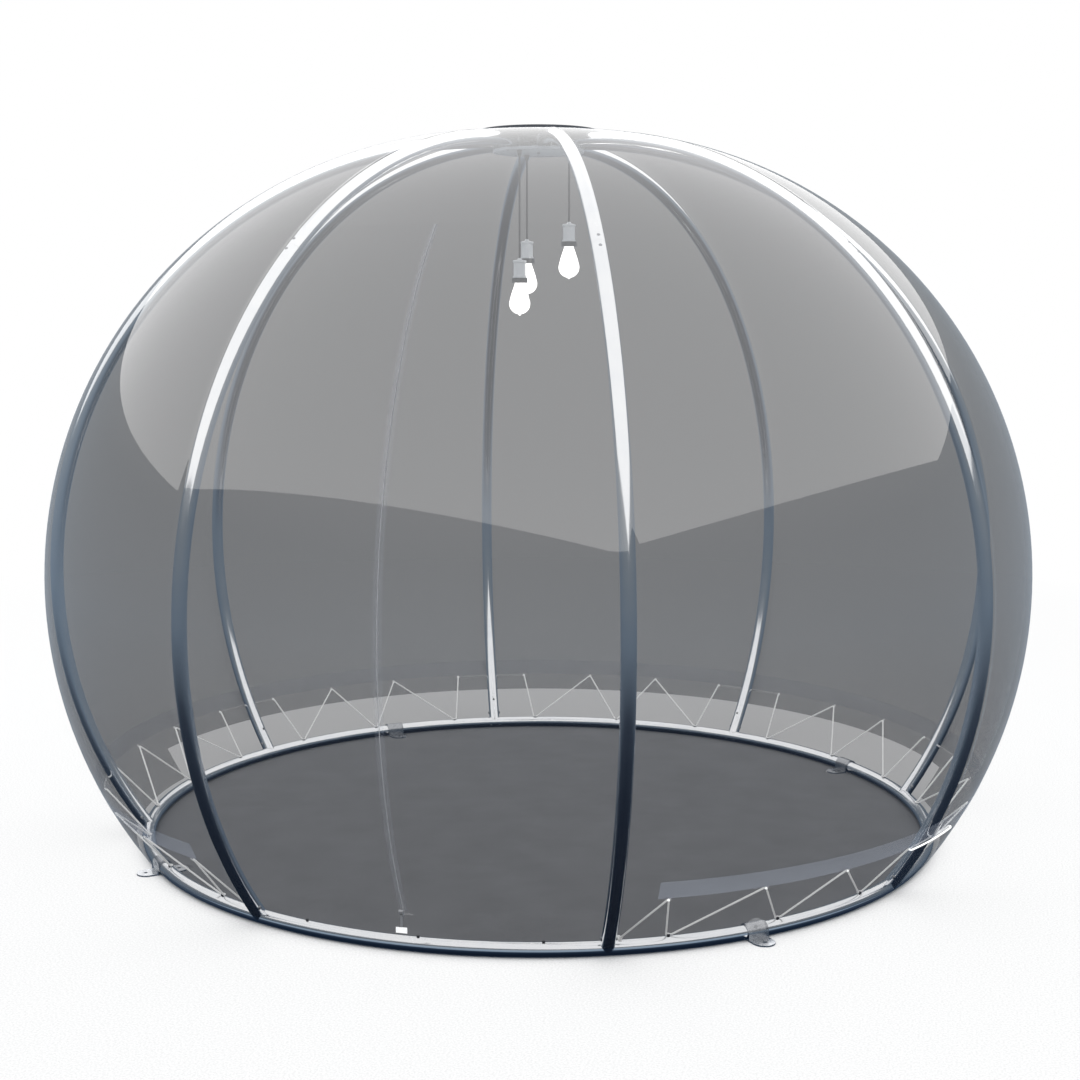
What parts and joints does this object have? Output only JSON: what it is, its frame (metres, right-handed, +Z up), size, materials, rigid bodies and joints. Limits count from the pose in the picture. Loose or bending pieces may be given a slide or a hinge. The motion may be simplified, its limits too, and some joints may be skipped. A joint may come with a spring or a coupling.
{
  "type": "garden dome tent",
  "caption": "Garden dome shelter: bulging tube ribs on a round base ring, laced clear cover, zipped doorway, groundsheet and hanging lamps.",
  "frame": {"origin": "centre of the base ring, on the ground", "axes": "+Z up; -Y out of the middle of the zipped doorway; +X to the right of someone who faces the doorway from outside"},
  "size_m": [3.0057, 3.0067, 2.1658],
  "materials": {
    "polished_tube": "polished stainless tube",
    "bracket_steel": "pressed steel",
    "sleeve_steel": "plain steel inside the tubes",
    "screw_steel": "domed screws",
    "plate_paint": "grey-blue painted plate",
    "cap_plastic": "dark moulded cap",
    "clear_film": "smoked clear film, glossy",
    "hem_film": "doubled film at the hem",
    "zip_tape": "woven zip tape and coil",
    "slider_metal": "dark coated zip slider",
    "pull_plastic": "white moulded pull tab",
    "stud_black": "black coated studs",
    "lacing_cord": "white braided cord",
    "groundsheet": "dark grey coated fabric",
    "grip_plastic": "moulded cord grips",
    "lamp_cord": "grey round cord",
    "holder_plastic": "light grey lampholder with a dark collar",
    "bulb_glass": "frosted glowing bulb"
  },
  "bodies": {
    "root": {"ring_segment_1": "polished_tube", "ring_segment_2": "polished_tube", "ring_segment_3": "polished_tube", "ring_segment_4": "polished_tube", "anchor_1": "bracket_steel", "anchor_2": "bracket_steel", "anchor_3": "bracket_steel", "anchor_4": "bracket_steel", "rib_lower_1": "polished_tube", "rib_lower_2": "polished_tube", "rib_lower_3": "polished_tube", "rib_lower_4": "polished_tube", "rib_lower_5": "polished_tube", "rib_lower_6": "polished_tube", "rib_lower_7": "polished_tube", "rib_lower_8": "polished_tube", "rib_upper_1": "polished_tube", "rib_upper_2": "polished_tube", "rib_upper_3": "polished_tube", "rib_upper_4": "polished_tube", "rib_upper_5": "polished_tube", "rib_upper_6": "polished_tube", "rib_upper_7": "polished_tube", "rib_upper_8": "polished_tube", "tube_sleeves": "sleeve_steel", "foot_spigots": "sleeve_steel", "rib_screws": "screw_steel", "hub_plate": "plate_paint", "hub_clamps": "bracket_steel", "hub_screws": "screw_steel", "hub_post": "bracket_steel", "crown_cap": "cap_plastic", "cover_panel_1": "clear_film", "cover_panel_2": "clear_film", "cover_panel_3": "clear_film", "cover_panel_4": "clear_film", "cover_panel_5": "clear_film", "cover_panel_6": "clear_film", "cover_panel_7": "clear_film", "cover_panel_8": "clear_film", "hem_band": "hem_film", "cord_studs": "stud_black", "lacing_cord": "lacing_cord", "groundsheet": "groundsheet", "cord_grips": "grip_plastic"},
    "door_left_leaf": {"door_left": "clear_film", "zip_tape_left": "zip_tape"},
    "door_right_leaf": {"door_right": "clear_film", "zip_tape_right": "zip_tape"},
    "slider": {"zip_slider": "slider_metal"},
    "pull": {"zip_pull": "pull_plastic"},
    "lamp_1": {"pendant_cord_1": "lamp_cord", "lampholder_1": "holder_plastic", "bulb_1": "bulb_glass"},
    "lamp_2": {"pendant_cord_2": "lamp_cord", "lampholder_2": "holder_plastic", "bulb_2": "bulb_glass"},
    "lamp_3": {"pendant_cord_3": "lamp_cord", "lampholder_3": "holder_plastic", "bulb_3": "bulb_glass"}
  },
  "joints": [
    {"name": "door_left_swing", "type": "hinge", "parent": "root", "child": "door_left_leaf", "pos_m": [-0.57513, -1.3885, 0.80049], "axis": [0, 0, -1], "range_deg": [0, 80]},
    {"name": "door_right_swing", "type": "hinge", "parent": "root", "child": "door_right_leaf", "pos_m": [0.57513, -1.3885, 0.80049], "axis": [0, 0, 1], "range_deg": [0, 80]},
    {"name": "zip_travel", "type": "hinge", "parent": "door_left_leaf", "child": "slider", "pos_m": [0, -0.155, 0.80049], "axis": [-1, 0, 0], "range_deg": [0, 78]},
    {"name": "pull_flip", "type": "hinge", "parent": "slider", "child": "pull", "pos_m": [-0.0065, -1.33238, 0.13244], "axis": [-1, 0, 0], "range_deg": [-20, 115]},
    {"name": "lamp_1_swing", "type": "hinge", "parent": "root", "child": "lamp_1", "pos_m": [0.094, 0.012, 2.078], "axis": [0.1266, -0.9919, 0], "range_deg": [-8, 15]},
    {"name": "lamp_2_swing", "type": "hinge", "parent": "root", "child": "lamp_2", "pos_m": [-0.057, 0.076, 2.078], "axis": [0.8, 0.6, 0], "range_deg": [-8, 15]},
    {"name": "lamp_3_swing", "type": "hinge", "parent": "root", "child": "lamp_3", "pos_m": [-0.037, -0.087, 2.078], "axis": [-0.9202, 0.3914, 0], "range_deg": [-8, 15]}
  ]
}
